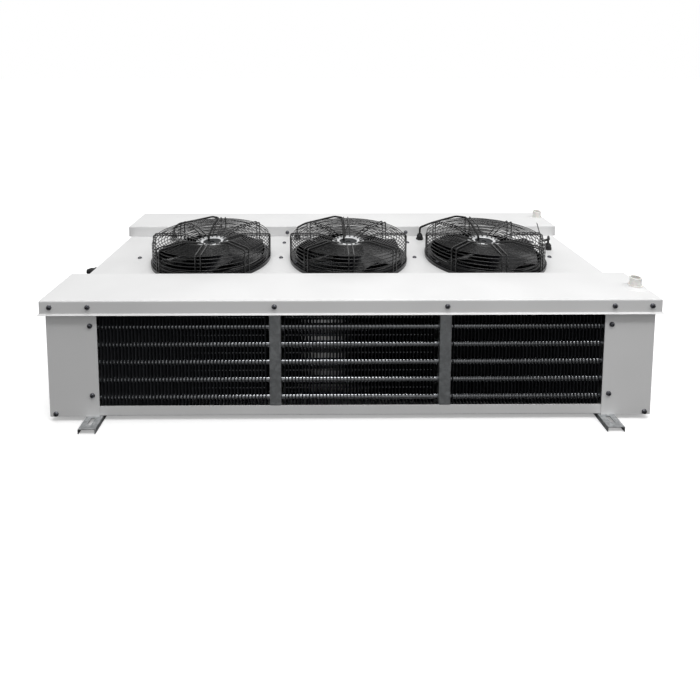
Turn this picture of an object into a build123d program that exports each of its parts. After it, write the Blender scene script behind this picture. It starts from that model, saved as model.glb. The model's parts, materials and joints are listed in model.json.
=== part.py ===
from build123d import *
from math import cos, hypot, radians, sin
import os

os.makedirs("parts", exist_ok=True)

# Dual-discharge unit cooler, drawn with its ceiling side down and its fans up.
# X runs along the drain pans, Y from the front coil to the rear coil, Z up.
# The origin is the middle of the four hanger slots, on the underside of the base panel.
# All sizes are millimetres.

# Casing
pan_length = 1650.0
unit_depth = 790.0
pan_width = 176.0
pan_top = 329.0
pan_lip = 39.0
pan_overhang_end = 11.0
pan_overhang_front = 10.0
sheet = 1.5
pan_corner_radius = 4.0
hem_width = 4.0
cover_width = 135.0
strip_height = 28.0
cover_bend = 3.0
flange_width = 32.0
end_plate_inset = 4.0
hem_stop = 6.0
seat_gap = 0.3
slip_gap = 0.2
cut_reach = 5.0

# Hanger rails
rail_inset = 120.0
rail_width = 46.0
rail_height = 14.0
rail_wall = 2.0
rail_reach = 47.5
slot_inset = 28.5
slot_width = 11.0
slot_length = 26.0

# Coils
row_count = 4
row_pitch = 33.0
tube_pitch = 50.0
tubes_per_row = 5
tube_diameter = 16.0
tube_wall = 1.0
tube_hole_gap = 0.2
tube_overhang = 3.0
fin_pitch = 9.4
fin_thickness = 1.0
fin_depth = 7.0
coil_setback = 5.5
coil_floor_gap = 14.5
support_shift_left = 17.5
support_shift_right = 10.5
support_width = 32.0
suction_header_diameter = 28.0
liquid_header_diameter = 22.0
header_standoff = 36.0
header_overhang = 22.0
header_cap = 2.0

# Fan deck and fans
deck_top = 290.0
deck_flange = 20.0
deck_notch = 10.0
partition_flange = 28.0
fan_count = 3
fan_spread = 14.5
fan_offset = 10.0
ring_gap = 67.0
ring_margin = 20.0
throat_below = 28.0
throat_above = 22.0
ring_flange_width = 22.0
ring_step = 10.0
ring_lip = 4.0
guard_overlap = 20.0
guard_height = 83.0
guard_dish = 21.0
dish_radius = 104.0
rod_diameter = 4.0
rod_spacing = 16.0
rod_bend = 6.0
rod_knee = 6.0
rod_foot_gap = 0.5
spoke_inset = 8.0
spoke_count = 8
wire_diameter = 3.0
wire_gap = 0.1
side_ring_pitch = 24.0
top_ring_pitch = 20.0
hub_plate_radius = 54.0
hub_plate_hole = 30.0
hub_plate_thickness = 3.0

# Fan motors and impellers
motor_flange_radius = 48.0
motor_flange_thickness = 4.0
rotor_radius = 46.0
rotor_wall = 5.0
rotor_height = 66.0
rotor_chamfer = 8.0
shaft_boss_wall = 5.0
shaft_boss_height = 9.0
stack_radius = 38.0
stack_height = 36.0
stack_drop = 8.0
bearing_outer = 22.0
bearing_width = 7.0
bearing_tube_wall = 3.0
bearing_tube_drop = 4.0
shaft_gap = 0.05
shaft_diameter = 8.0
running_gap = 1.0
blade_count = 5
tip_gap = 4.0
impeller_rise = 2.0
blade_overrun = 12.0
blade_camber = 0.08
blade_thickness = 1.6
hub_ring_height = 40.0
hub_ring_wall = 2.5
root_chord = 62.0
middle_chord = 96.0
tip_chord = 128.0
root_angle = 40.0
middle_angle = 31.0
tip_angle = 24.0

# Cables, glands and drains
cable_diameter = 7.0
gland_thread = 20.0
gland_height = 22.0
gland_thread_length = 9.0
gland_gap = 0.1
lock_nut_height = 4.0
cable_drop = 16.0
gland_offset_x = -184.0
gland_setback = 37.0
lead_gland_x = 256.0
lead_gland_y = 75.0
lead_gap = 1.2
lead_drop = 22.5
lead_swing = 22.0
lead_rise = 4.0
lead_arch = 26.0
cable_inset = 14.5
cable_rim_gap = 4.0
cable_rim_drop = 7.0
cable_lift = 4.5
cable_rise = 24.0
end_gland_y = -70.0
end_gland_drop = 17.0
end_gland_reach = 36.0
drain_inset = 30.0
drain_setback = 73.0
drain_outer = 30.0
drain_bore = 24.0
drain_height = 24.0
drain_boss_rise = 5.0
drain_boss_spread = 14.0
drain_flange = 3.0
tie_width = 4.8
tie_thickness = 1.3
tie_tail = 78.0
tie_lean = 17.0
tie_head = 6.0
tie_drop = 40.5

# Screws
screw_diameter = 6.0
screw_head = 14.0
screw_head_height = 5.0
screw_grip = 8.0
pan_screw_drop = 18.0
cover_screw_inset = 14.0
cover_screw_rise = 60.0
cover_screw_drop = 74.0
corner_screw_inset = 17.0
corner_screw_rise = 8.0
deck_screw_margin = 74.0
deck_screw_inset = 20.0
support_screw_offset = 15.0
rim_screw_offset = 9.0
rim_screw_drop = 24.0
guard_screw_diameter = 4.0
guard_screw_head = 13.0
guard_screw_head_height = 3.0
guard_screw_length = 18.0
guard_screw_gap = 0.6

# Places worked out from the sizes above
half_length = pan_length / 2 - pan_overhang_end
half_depth = unit_depth / 2 - pan_overhang_front
cover_edge = half_length - cover_width
end_plate_x = cover_edge + end_plate_inset
coil_front = half_depth - coil_setback
coil_depth = row_count * row_pitch
coil_back = coil_front - coil_depth
coil_bottom = sheet + coil_floor_gap
coil_height = (tubes_per_row + 0.5) * tube_pitch
pan_inner = unit_depth / 2 - pan_width
pan_under = pan_top - sheet
deck_under = deck_top - sheet
plenum_depth = coil_back - seat_gap
fan_pitch = 2 * (end_plate_x + fan_spread) / fan_count
fan_places = [fan_offset + fan_pitch * (i - (fan_count - 1) / 2) for i in range(fan_count)]
fan_room = min(fan_pitch - ring_gap, 2 * (pan_inner - ring_margin))
throat_radius = fan_room / 2 - ring_flange_width
guard_radius = throat_radius + guard_overlap
spoke_start = hub_plate_hole + spoke_inset
rod_set_back = rod_spacing ** 2 / 8 / guard_radius
side_ring_radius = guard_radius - rod_set_back - (rod_diameter + wire_diameter) / 2 - wire_gap
support_left = (fan_places[0] + fan_places[1]) / 2 + support_shift_left
support_right = (fan_places[-2] + fan_places[-1]) / 2 + support_shift_right
support_places = (support_left, support_right)
rail_x = half_length - rail_inset
slot_y = half_depth + rail_reach - slot_inset
drain_x = pan_length / 2 - drain_inset
drain_y = unit_depth / 2 - drain_setback
gland_offset_y = pan_inner - gland_setback
screw_gap = slip_gap / 2
pan_screw_z = pan_top - pan_screw_drop
rim_screw_z = pan_top - rim_screw_drop
cover_screw_x = end_plate_x + cover_screw_inset
cover_screws_z = (cover_screw_rise, pan_top - cover_screw_drop)
corner_screw_x = half_length - corner_screw_inset
deck_rows_x = (
    -end_plate_x - deck_screw_inset,
    support_left - support_screw_offset,
    support_right - support_screw_offset,
    end_plate_x + deck_screw_inset,
)
deck_screw_y = pan_inner - deck_screw_margin
deck_rows_y = (-deck_screw_y, 0.0, deck_screw_y)


def block(x, y, z):
    """A box between three pairs of limits."""
    size = (x[1] - x[0], y[1] - y[0], z[1] - z[0])
    middle = ((x[0] + x[1]) / 2, (y[0] + y[1]) / 2, (z[0] + z[1]) / 2)
    return Pos(*middle) * Box(*size)


def rod_along(axis, radius, start, end, place=(0, 0)):
    """A round bar along X, Y or Z between two coordinates, at the other two given in order."""
    length = end - start
    middle = (start + end) / 2
    if axis == "X":
        return Pos(middle, *place) * Rot(0, 90, 0) * Cylinder(radius, length)
    if axis == "Y":
        return Pos(place[0], middle, place[1]) * Rot(90, 0, 0) * Cylinder(radius, length)
    return Pos(*place, middle) * Cylinder(radius, length)


def screw_hole(axis, at, place, diameter=screw_diameter):
    """The bar that cuts a screw's hole through a sheet at a coordinate along its axis."""
    return rod_along(axis, diameter / 2 + screw_gap, at - cut_reach, at + cut_reach, place)


def revolved(points, place=(0, 0, 0)):
    """A turned piece from its half outline, given as radius and height."""
    outline = make_face(Polyline(*[(r, 0, z) for r, z in points], close=True))
    return Pos(*place) * revolve(outline, Axis.Z)


def folded(corners):
    """The cross-section of a folded sheet that lies on the left of its corners."""
    fold = FilletPolyline(*corners, radius=cover_bend)
    return make_face(offset(fold, sheet, side=Side.LEFT).edges())


def bent_sheet(corners, low, high):
    """A folded sheet that stands from low to high, with its corners given in plan."""
    return Pos(0, 0, low) * extrude(folded(corners), high - low)


def long_sheet(corners, half):
    """A folded sheet that runs along X, with its corners given as Y and Z."""
    return extrude(Plane.YZ * folded(corners), half, both=True)


def mirrored_y(piece):
    return mirror(piece, Plane.XZ)


def mirrored_x(piece):
    return mirror(piece, Plane.YZ)


def save(name, *pieces):
    """Writes one node: one solid, or a group of separate solids."""
    solids = [solid for piece in pieces for solid in piece.solids()]
    for solid in solids:
        solid.label = name
    export_step(solids[0] if len(solids) == 1 else Compound(children=solids), f"parts/{name}.step")


def screw(head, head_height, shank, length):
    """A button-head screw, head up, with the seat of its head at the origin."""
    dome = head_height * 0.6
    outline = [
        (0, -length),
        (shank / 2, -length),
        (shank / 2, 0),
        (head / 2, 0),
        (head / 2, dome),
        (head * 0.28, head_height),
        (0, head_height),
    ]
    return revolved(outline)


# Hanger rails
def hanger_rail():
    reach = half_depth + rail_reach
    outside = block((-rail_width / 2, rail_width / 2), (-reach, reach), (-rail_height, 0))
    along = outside.edges().filter_by(Axis.Y).group_by(Axis.Z)[-1]
    outside = fillet(along, rail_wall)
    inner = rail_width / 2 - rail_wall
    rail = outside - block((-inner, inner), (-reach, reach), (-rail_height, -rail_wall))
    slot = extrude(SlotOverall(slot_length, slot_width, rotation=90), rail_height, both=True)
    for y in (-slot_y, slot_y):
        rail -= Pos(0, y, 0) * slot
    return rail


# Casing
def base_panel():
    """The panel on the ceiling side, with a strip turned up along each coil."""
    inside = half_depth - sheet - slip_gap
    half = half_length - cover_bend - slip_gap
    corners = ((-inside, strip_height), (-inside, 0), (inside, 0), (inside, strip_height))
    tray = long_sheet(corners, half)
    for y in (-inside, inside):
        for x in (-corner_screw_x, corner_screw_x):
            tray -= screw_hole("Y", y, (x, corner_screw_rise))
    return tray


def end_cover():
    """The right cover: a front and a rear face with the end wall between, cut down to the deck."""
    corners = (
        (cover_edge, -half_depth),
        (half_length, -half_depth),
        (half_length, half_depth),
        (cover_edge, half_depth),
    )
    cover = bent_sheet(corners, 0, pan_under - seat_gap)
    cover -= block((cover_edge, half_length), (-coil_back, coil_back), (deck_under - seat_gap, pan_top))
    for y in (-half_depth, half_depth):
        places = [(cover_screw_x, z) for z in (*cover_screws_z, pan_screw_z)]
        places += [(corner_screw_x, corner_screw_rise), (corner_screw_x, pan_screw_z)]
        for place in places:
            cover -= screw_hole("Y", y, place)
    return cover


def end_cover_with_gland():
    """The left cover, bored for the gland where the supply cable comes in."""
    place = (end_gland_y, deck_top - end_gland_drop)
    return mirrored_x(end_cover()) - screw_hole("X", -half_length, place, gland_thread)


# Coils
def tube_places():
    """Y and Z of every tube of the front coil, row by row from the face inwards."""
    rows = []
    for row in range(row_count):
        y = -coil_front + (row + 0.5) * row_pitch
        low = coil_bottom + tube_pitch / 2 * (1 + row % 2)
        rows.append([(y, low + i * tube_pitch) for i in range(tubes_per_row)])
    return rows


def tube_holes(start, end, gap=tube_hole_gap):
    """The bars that cut the tubes' holes through a front coil plate."""
    radius = tube_diameter / 2 + gap
    return [rod_along("X", radius, start, end, place) for row in tube_places() for place in row]


def tube_sheet():
    """The right end plate of the front coil, its faces turned outwards behind the cover."""
    top = pan_under - seat_gap
    front = -half_depth + sheet + sheet + 2 * slip_gap
    corners = (
        (end_plate_x + flange_width, -coil_back),
        (end_plate_x, -coil_back),
        (end_plate_x, front),
        (end_plate_x + flange_width, front),
    )
    plate = bent_sheet(corners, cover_bend + seat_gap, top)
    plate -= back_notch(end_plate_x - cut_reach, half_length)
    plate -= tube_holes(end_plate_x - cut_reach, end_plate_x + cut_reach)
    for z in (*cover_screws_z, pan_screw_z):
        plate -= screw_hole("Y", front, (cover_screw_x, z))
    return plate


def back_notch(start, end):
    """The cut at a front coil plate's upper back corner, where the deck's edge turns down."""
    low = deck_under - deck_flange - seat_gap
    return block((start, end), (-coil_back - deck_flange, -coil_back + cut_reach), (low, pan_top))


def coil_support(x):
    """A channel that carries the tubes between two fans, with its face towards the room."""
    half = support_width / 2
    front = -half_depth + sheet + slip_gap
    corners = ((x - half, -coil_back), (x - half, front), (x + half, front), (x + half, -coil_back))
    channel = bent_sheet(corners, strip_height + seat_gap, pan_under - seat_gap)
    channel -= back_notch(x - half - cut_reach, x + half + cut_reach)
    channel -= tube_holes(x - half - cut_reach, x + half + cut_reach)
    return channel - screw_hole("Y", front, (x, pan_screw_z))


def fin_pack(start, end):
    """One bay of fins: plates that stand out in front and behind, joined round the tubes."""
    count = int((end - start) // fin_pitch)
    first = (start + end) / 2 - (count - 1) * fin_pitch / 2
    middle_y = -(coil_front + coil_back) / 2
    core = Rectangle(end - start - 2 * seat_gap, coil_depth - 2 * fin_depth)
    section = Pos((start + end) / 2, middle_y) * core
    places = [(first + i * fin_pitch, middle_y) for i in range(count)]
    section += [Pos(*place) * Rectangle(fin_thickness, coil_depth - 2 * seat_gap) for place in places]
    pack = Pos(0, 0, coil_bottom) * extrude(section, coil_height)
    notch = deck_under - deck_flange - seat_gap
    pack -= block((start, end), (-coil_back - fin_depth, -coil_back), (notch, pan_top))
    return pack - tube_holes(start - cut_reach, end + cut_reach)


def fin_packs():
    half = support_width / 2 + seat_gap
    stops = [-end_plate_x + seat_gap]
    for x in support_places:
        stops += [x - half, x + half]
    stops.append(end_plate_x - seat_gap)
    return [fin_pack(stops[i], stops[i + 1]) for i in range(0, len(stops), 2)]


def tube_end():
    return end_plate_x + sheet + tube_overhang


def coil_tube(place):
    radius = tube_diameter / 2
    end = tube_end()
    return rod_along("X", radius, -end, end, place) - rod_along("X", radius - tube_wall, -end, end, place)


def return_bend(first, second, side):
    """The half-round bend that joins two tubes at the end of the coil given by side."""
    span = hypot(second[0] - first[0], second[1] - first[1]) / 2
    middle = Vector(side * tube_end(), (first[0] + second[0]) / 2, (first[1] + second[1]) / 2)
    across = Vector(0, second[0] - first[0], second[1] - first[1]).normalized()
    plane = Plane(origin=middle, x_dir=across, z_dir=Vector(side, 0, 0).cross(across) * -1)
    arc = plane * CenterArc((0, 0), span, 0, 180)
    section = Plane(origin=arc @ 0, z_dir=arc % 0) * (
        Circle(tube_diameter / 2) - Circle(tube_diameter / 2 - tube_wall)
    )
    return sweep(section, path=arc)


def return_bends():
    """Bends from row 1 to 2 and 3 to 4 on the right, and from row 2 to 3 on the left."""
    rows = tube_places()
    bends = []
    for row in range(row_count - 1):
        side = 1 if row % 2 == 0 else -1
        bends += [return_bend(a, b, side) for a, b in zip(rows[row], rows[row + 1])]
    return bends


def header(row, diameter):
    """A closed upright pipe on the left with one branch to each tube of a row."""
    places = tube_places()[row]
    y, low = places[0]
    high = places[-1][1]
    x = -tube_end() - header_standoff
    outer = diameter / 2
    bottom = low - header_overhang
    top = high + header_overhang
    pipe = rod_along("Z", outer, bottom, top, (x, y))
    pipe += [rod_along("X", tube_diameter / 2, x, -tube_end(), place) for place in places]
    pipe -= rod_along("Z", outer - tube_wall, bottom + header_cap, top - header_cap, (x, y))
    pipe -= [rod_along("X", tube_diameter / 2 - tube_wall, x, -tube_end(), place) for place in places]
    return pipe


# Plenum
def plenum_wall(x, flange, screws_x):
    """A wall across the plenum, with a flange along its top between two X limits, under the deck."""
    top = deck_under - seat_gap
    flange_end = plenum_depth - deck_flange - cut_reach
    wall = block((x, x + sheet), (-plenum_depth, plenum_depth), (sheet + seat_gap, top))
    wall += block(flange, (-flange_end, flange_end), (top - sheet, top))
    for side in (-1, 1):
        corner = sorted((side * (coil_back - deck_notch), side * (coil_back + cut_reach)))
        wall -= block((x - cut_reach, x + cut_reach), corner, (top - deck_flange, top))
    for y in deck_rows_y:
        wall -= screw_hole("Z", top, (screws_x, y))
    return wall


def plenum_end():
    """The right end wall of the fan plenum, with its flange turned outwards."""
    return plenum_wall(end_plate_x, (end_plate_x, end_plate_x + flange_width), deck_rows_x[-1])


def plenum_partition(x):
    """The wall between two fans, with its flange turned left."""
    return plenum_wall(x, (x - partition_flange, x + sheet), x - support_screw_offset)


def fan_deck():
    """The panel that carries the fans, its long edges turned down behind the coils."""
    edge = coil_back - seat_gap
    low = deck_top - deck_flange
    deck = long_sheet(((edge, low), (edge, deck_top), (-edge, deck_top), (-edge, low)), half_length)
    for end in (-1, 1):
        for side in (-1, 1):
            along = sorted((end * (cover_edge + slip_gap), end * half_length))
            across = sorted((side * (edge - cover_bend), side * (edge + cut_reach)))
            deck -= block(along, across, (low - cut_reach, deck_under))
    for x in fan_places:
        deck -= rod_along("Z", throat_radius + sheet + slip_gap, deck_top - cut_reach, deck_top + cut_reach,
                          (x, 0))
        for across, y in guard_screw_places():
            deck -= screw_hole("Z", deck_top, (x + across, y), guard_screw_diameter)
    for x in deck_rows_x:
        for y in deck_rows_y:
            deck -= screw_hole("Z", deck_top, (x, y))
    for place in gland_places():
        deck -= screw_hole("Z", deck_top, place, gland_thread)
    return deck


# Drain pans
def drain_pan():
    """The front pan, open side down, with a raised seat for the drain and a hem turned out."""
    middle = -(unit_depth / 2 - pan_width / 2)
    outside = Pos(0, middle, pan_top - pan_lip / 2) * Box(pan_length, pan_width, pan_lip)
    outside = fillet(outside.edges().filter_by(Axis.Z), pan_corner_radius)
    outside = fillet(outside.faces().sort_by(Axis.Z)[-1].edges(), pan_corner_radius)
    pan = offset(outside, -sheet, openings=outside.faces().sort_by(Axis.Z)[0])
    low = pan_top - pan_lip
    flare = Pos(0, middle, low) * extrude(Rectangle(pan_length + 2 * hem_width, pan_width + 2 * hem_width),
                                          hem_width, taper=45)
    cavity = Pos(0, middle, low) * extrude(
        Rectangle(pan_length + 2 * hem_width - 2 * sheet, pan_width + 2 * hem_width - 2 * sheet),
        hem_width, taper=45)
    hem = flare - cavity - outside
    keep = block((-pan_length, pan_length), (-unit_depth, -pan_inner - hem_stop), (0, pan_top))
    pan += hem & keep
    inner_edge = (-pan_inner - pan_corner_radius, 0)
    pan -= block((-pan_length, pan_length), inner_edge, (low - cut_reach, deck_top + seat_gap))
    foot = drain_outer / 2 + drain_boss_spread
    seat = drain_outer / 2 + drain_flange + 1
    boss = [(0, -seat_gap), (foot, -seat_gap), (foot, 0), (seat, drain_boss_rise), (0, drain_boss_rise)]
    under = [(r, z - sheet) for r, z in boss]
    pan += revolved(boss, (drain_x, -drain_y, pan_top))
    pan -= revolved(under, (drain_x, -drain_y, pan_top))
    through = pan_top + drain_boss_rise + cut_reach
    pan -= rod_along("Z", drain_bore / 2, pan_under - cut_reach, through, (drain_x, -drain_y))
    for x in pan_screws_x():
        pan -= screw_hole("Y", -unit_depth / 2, (x, pan_screw_z))
    for x in rim_screws_x():
        pan -= screw_hole("Y", -pan_inner, (x, rim_screw_z))
    return pan


def pan_screws_x():
    return (-corner_screw_x, -cover_screw_x, *support_places, cover_screw_x, corner_screw_x)


def rim_screws_x():
    return [x - rim_screw_offset for x in support_places]


def drain_stub():
    """The pipe that the drain hose goes on, standing on the front pan's raised seat."""
    foot = pan_top + drain_boss_rise
    outer = drain_outer / 2
    bore = drain_bore / 2
    flange = outer + drain_flange
    outline = [(bore, 0), (flange, 0), (flange, drain_flange), (outer, drain_flange),
               (outer, drain_height - 1), (outer - 1, drain_height), (bore, drain_height)]
    return revolved(outline, (drain_x, -drain_y, foot))


# Fans
def guard_screw_places():
    """Four screws clamp the guard's foot ring from inside, half way between its spokes."""
    radius = side_ring_radius - wire_diameter / 2 - guard_screw_diameter / 2 - guard_screw_gap
    angles = [22.5 + 90 * i for i in range(4)]
    return [(radius * cos(radians(a)), radius * sin(radians(a))) for a in angles]


def fan_ring():
    """The black venturi ring: a throat through the deck, a raised flange and a rolled lip."""
    outer = throat_radius + sheet
    lip = ring_lip
    flange = throat_radius + ring_flange_width
    under = ring_step - sheet
    outline = [
        (throat_radius, -throat_below), (outer, -throat_below), (outer, under), (flange - sheet, under),
        (flange - sheet, 0), (flange, 0), (flange, ring_step), (outer + lip, ring_step),
        (outer, ring_step + lip), (outer, throat_above - lip), (outer + lip, throat_above),
        (outer + lip, throat_above + sheet), (outer - 0.5, throat_above + sheet),
        (throat_radius, throat_above - 1.5 * lip),
    ]
    ring = revolved(outline)
    for place in guard_screw_places():
        ring -= screw_hole("Z", ring_step, place, guard_screw_diameter)
    return ring


def spoke_height(radius):
    """Height of the spokes' middle line at a radius: flat outside, dished down to the hub plate."""
    return guard_height - dish_slope() * max(dish_radius - radius, 0)


def dish_slope():
    return guard_dish / (dish_radius - spoke_start)


def guard_rod(y):
    """One bent rod: in from the hub plate to the rim, then down to the foot ring."""
    points = (
        (spoke_start, y, spoke_height(spoke_start)),
        (dish_radius, y, guard_height),
        (guard_radius, y, guard_height),
        (guard_radius, y, ring_step + rod_foot_gap),
    )
    path = FilletPolyline(*points, radius=[rod_knee, rod_bend])
    return sweep(Plane(origin=path @ 0, z_dir=path % 0) * Circle(rod_diameter / 2), path=path)


def fan_guard():
    """The wire basket: rings inside, pairs of rods outside, and the motor's plate in the middle."""
    drop = (rod_diameter / 2 + wire_diameter / 2 + wire_gap) * hypot(1, dish_slope())
    wires = []
    height = ring_step + wire_diameter / 2 + wire_gap
    while height < guard_height - rod_bend - wire_diameter:
        wires.append(Pos(0, 0, height) * Torus(side_ring_radius, wire_diameter / 2))
        height += side_ring_pitch
    radius = guard_radius - rod_bend - wire_diameter / 2
    while radius > hub_plate_radius + wire_diameter:
        wires.append(Pos(0, 0, spoke_height(radius) - drop) * Torus(radius, wire_diameter / 2))
        radius -= top_ring_pitch
    for i in range(spoke_count):
        turn = Rot(0, 0, 360 / spoke_count * i)
        wires += [turn * guard_rod(y) for y in (-rod_spacing / 2, rod_spacing / 2)]
    top = hub_plate_top()
    plate = Circle(hub_plate_radius) - Circle(hub_plate_hole)
    wires.append(Pos(0, 0, top - hub_plate_thickness) * extrude(plate, hub_plate_thickness))
    return wires


def hub_plate_top():
    """The plate's top, just under the spokes' inner ends."""
    return spoke_height(spoke_start) - rod_diameter / 2 * hypot(1, dish_slope()) - wire_gap


def motor_top():
    return hub_plate_top() - hub_plate_thickness


def motor_stator():
    """The fixed half of the motor: flange, bearing tube and winding stack, as one turned form."""
    top = motor_top()
    bore = bearing_outer / 2
    tube = bore + bearing_tube_wall
    seat = bore - bearing_tube_wall
    flange = top - motor_flange_thickness
    stack_top = flange - stack_drop
    stack_low = stack_top - stack_height
    low = stack_low - bearing_tube_drop
    outline = [
        (seat, top), (motor_flange_radius, top), (motor_flange_radius, flange), (tube, flange),
        (tube, stack_top), (stack_radius, stack_top), (stack_radius, stack_low), (tube, stack_low),
        (tube, low), (bore, low), (bore, low + bearing_width), (seat, low + bearing_width),
        (seat, flange - bearing_width), (bore, flange - bearing_width), (bore, flange), (seat, flange),
    ]
    return revolved(outline)


def bearing_bottoms():
    flange = motor_top() - motor_flange_thickness
    low = flange - stack_drop - stack_height - bearing_tube_drop
    return (low, flange - bearing_width)


def motor_bearing(low):
    inner = shaft_diameter / 2 + shaft_gap
    outer = bearing_outer / 2
    return Pos(0, 0, low) * extrude(Circle(outer) - Circle(inner), bearing_width)


def rotor_top():
    return motor_top() - motor_flange_thickness - running_gap


def rotor_can():
    """The turning cup of the motor, open at the top, with a boss for the shaft."""
    top = rotor_top()
    low = top - rotor_height
    inner = rotor_radius - rotor_wall
    shaft = shaft_diameter / 2
    boss = shaft + shaft_boss_wall
    floor = low + rotor_wall
    outline = [
        (inner, top), (rotor_radius, top), (rotor_radius, low + rotor_chamfer),
        (rotor_radius - rotor_chamfer, low), (shaft, low), (shaft, low + shaft_boss_height),
        (boss, low + shaft_boss_height), (boss, floor), (inner - rotor_chamfer / 2, floor),
        (inner, floor + rotor_chamfer / 2),
    ]
    return revolved(outline)


def rotor_shaft():
    low = rotor_top() - rotor_height
    high = motor_top() - motor_flange_thickness
    return rod_along("Z", shaft_diameter / 2, low, high)


def blade_section(radius, chord, angle):
    """A cambered blade section, seen along the radius."""
    half = chord / 2
    camber = chord * blade_camber
    lower = ThreePointArc((-half, 0), (0, camber), (half, 0))
    upper = ThreePointArc((-half, blade_thickness), (0, camber + blade_thickness), (half, blade_thickness))
    face = make_face([lower, upper, Line(lower @ 0, upper @ 0), Line(lower @ 1, upper @ 1)])
    plane = Plane(origin=(radius, 0, 0), x_dir=(0, 1, 0), z_dir=(1, 0, 0))
    return plane * Rot(0, 0, angle) * face


def impeller():
    """Five twisted blades welded to a ring that is pressed over the rotor."""
    inner = rotor_radius
    outer = inner + hub_ring_wall
    tip = throat_radius - tip_gap
    middle = (inner + tip) / 2
    blade = loft([
        blade_section(inner + hub_ring_wall / 2, root_chord, root_angle),
        blade_section(middle, middle_chord, middle_angle),
        blade_section(tip + blade_overrun, tip_chord, tip_angle),
    ])
    blade &= Cylinder(tip, 4 * hub_ring_height)
    blade -= Cylinder(inner + hub_ring_wall / 2, 4 * hub_ring_height)
    ring = extrude(Circle(outer) - Circle(inner), hub_ring_height / 2, both=True)
    wheel = ring
    for i in range(blade_count):
        wheel += Rot(0, 0, 360 / blade_count * i) * blade
    return Pos(0, 0, impeller_middle()) * wheel


def impeller_middle():
    return rotor_top() - rotor_height / 2 + impeller_rise


# Cables and glands
def gland_places():
    places = [(x + gland_offset_x, gland_offset_y) for x in fan_places]
    return places + [(fan_places[-1] + lead_gland_x, lead_gland_y)]


def cable_gland(height=gland_height):
    """A gland with its thread below its seat at the origin and its domed nut above."""
    thread = gland_thread / 2
    flat = height * 0.3
    shoulder = height * 0.7
    gland = extrude(RegularPolygon(thread + 2, 6, major_radius=False), flat)
    gland += revolved([(0, flat), (thread + 1, flat), (thread + 1, shoulder), (thread - 3, height), (0, height)])
    gland += rod_along("Z", thread, -gland_thread_length, flat)
    return gland - rod_along("Z", cable_diameter / 2 + gland_gap, -gland_thread_length, height)


def gland_nut():
    """The lock nut under the sheet."""
    body = RegularPolygon(gland_thread / 2 + 3, 6, major_radius=False)
    ring = body - Circle(gland_thread / 2 + gland_gap)
    return Pos(0, 0, -sheet - seat_gap - lock_nut_height) * extrude(ring, lock_nut_height)


def routed(points, radii, diameter=cable_diameter):
    path = FilletPolyline(*points, radius=radii)
    return sweep(Plane(origin=path @ 0, z_dir=path % 0) * Circle(diameter / 2), path=path)


def rim_point(angle, height):
    """A point just outside the guard's rods, where the motor lead follows the rim."""
    reach = guard_radius + rod_diameter / 2 + cable_diameter / 2 + cable_rim_gap
    return (reach * cos(radians(angle)), reach * sin(radians(angle)), height)


def fan_cable():
    """A motor lead: from the hub along the rear spoke, over the rim and down to its gland."""
    low = motor_top() + slip_gap
    over = guard_height + cable_lift
    beside = guard_height - cable_rim_drop
    points = (
        (-cable_inset, cable_inset, low),
        (-cable_inset, cable_inset, low + cable_diameter / 2 + rod_bend * 2),
        (-cable_inset, dish_radius, over),
        (-cable_inset, guard_radius - cable_rise, over),
        rim_point(102, guard_height),
        rim_point(118, beside),
        rim_point(137, beside),
        (gland_offset_x, gland_offset_y, gland_height + cable_rise),
        (gland_offset_x, gland_offset_y, -cable_drop),
    )
    return routed(points, [10.0, 40.0, 20.0, 14.0, 60.0, 14.0, 16.0])


def guard_lead():
    """The short lead from the last guard's right corner to a gland of its own."""
    start = guard_radius + rod_diameter / 2 + lead_gap
    points = (
        (start, -rod_spacing / 2, guard_height - lead_drop),
        (start + lead_swing, -rod_spacing / 4, guard_height - lead_drop + lead_rise),
        (lead_gland_x, lead_gland_y, gland_height + lead_arch),
        (lead_gland_x, lead_gland_y, -cable_drop),
    )
    return routed(points, [14.0, 18.0])


def cable_tie():
    """A tie round the last guard's right corner rods, its long tail left standing."""
    low = guard_height - tie_drop
    half = rod_spacing / 2 + rod_diameter / 2 + slip_gap
    out = rod_diameter / 2 + slip_gap
    inside = Rectangle(2 * out, 2 * half)
    loop = extrude(offset(inside, tie_thickness, kind=Kind.INTERSECTION) - inside, tie_width)
    loop = Pos(guard_radius, 0, low) * loop
    face = guard_radius + out + tie_thickness / 2
    head = block((face, face + tie_head), (-tie_head / 2, tie_head / 2), (low, low + tie_head))
    tail = Pos(0, 0, tie_tail / 2) * Box(tie_thickness, tie_width, tie_tail)
    tail = Pos(face + tie_head / 2, 0, low + tie_head / 2) * Rot(0, -tie_lean, 0) * tail
    return loop + head + tail


def motor_parts():
    for number, x in enumerate(fan_places, 1):
        place = Pos(x, 0, deck_top)
        save(f"fan_ring_{number}", place * fan_ring())
        save(f"motor_stator_{number}", place * motor_stator())
        save(f"rotor_can_{number}", place * rotor_can())
        save(f"rotor_shaft_{number}", place * rotor_shaft())
        save(f"impeller_{number}", place * impeller())
        save(f"fan_guard_{number}", *[place * wire for wire in fan_guard()])
        save(f"fan_cable_{number}", place * fan_cable())


def frame_parts():
    rail = hanger_rail()
    save("hanger_rail_left", Pos(-rail_x, 0, 0) * rail)
    save("hanger_rail_right", Pos(rail_x, 0, 0) * rail)
    save("base_panel", base_panel())
    save("end_cover_left", end_cover_with_gland())
    save("end_cover_right", end_cover())
    end = plenum_end()
    save("plenum_end_left", mirrored_x(end))
    save("plenum_end_right", end)
    save("plenum_partition_left", plenum_partition(support_left))
    save("plenum_partition_right", plenum_partition(support_right))
    save("fan_deck", fan_deck())


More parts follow.
